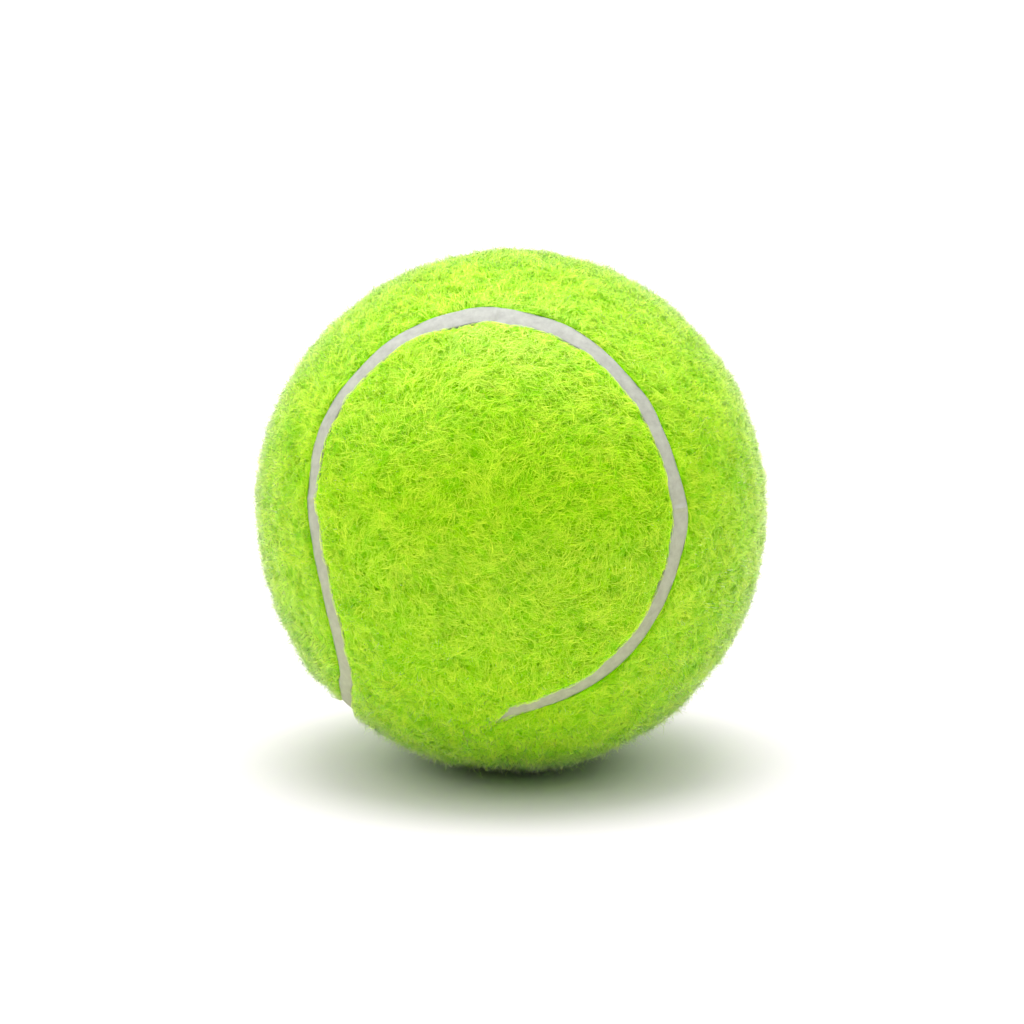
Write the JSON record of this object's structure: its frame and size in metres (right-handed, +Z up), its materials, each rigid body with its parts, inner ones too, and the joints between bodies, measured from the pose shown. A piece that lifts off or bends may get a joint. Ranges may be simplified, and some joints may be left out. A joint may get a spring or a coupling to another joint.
{
  "type": "tennis ball",
  "caption": "Pressurised tennis ball: a hollow rubber core under two interlocking dumbbell-shaped felt panels with a rubber seam between them.",
  "frame": {"origin": "centre of the ball", "axes": "+Z up through the top of the ball as it lies at rest, -Y the side that faces the viewer in the picture, +X to the viewer's right; the flat joint of the core's half shells lies in the XY plane"},
  "size_m": [0.067, 0.0669, 0.0669],
  "materials": {
    "felt": "fluffy wool and nylon nap",
    "felt_backing": "rubberised weave, matte",
    "seam_rubber": "matte vulcanised rubber",
    "core_coat": "dried rubber solution, satin",
    "core_rubber": "matte moulded rubber",
    "joint_cement": "cured cement, satin"
  },
  "bodies": {
    "root": {"core_half_upper": "core_rubber", "core_half_lower": "core_rubber", "core_joint_cement": "joint_cement", "core_coat": "core_coat", "backing_front": "felt_backing", "backing_rear": "felt_backing", "felt_panel_front": "felt", "felt_panel_rear": "felt", "seam_strip": "seam_rubber"}
  },
  "joints": []
}
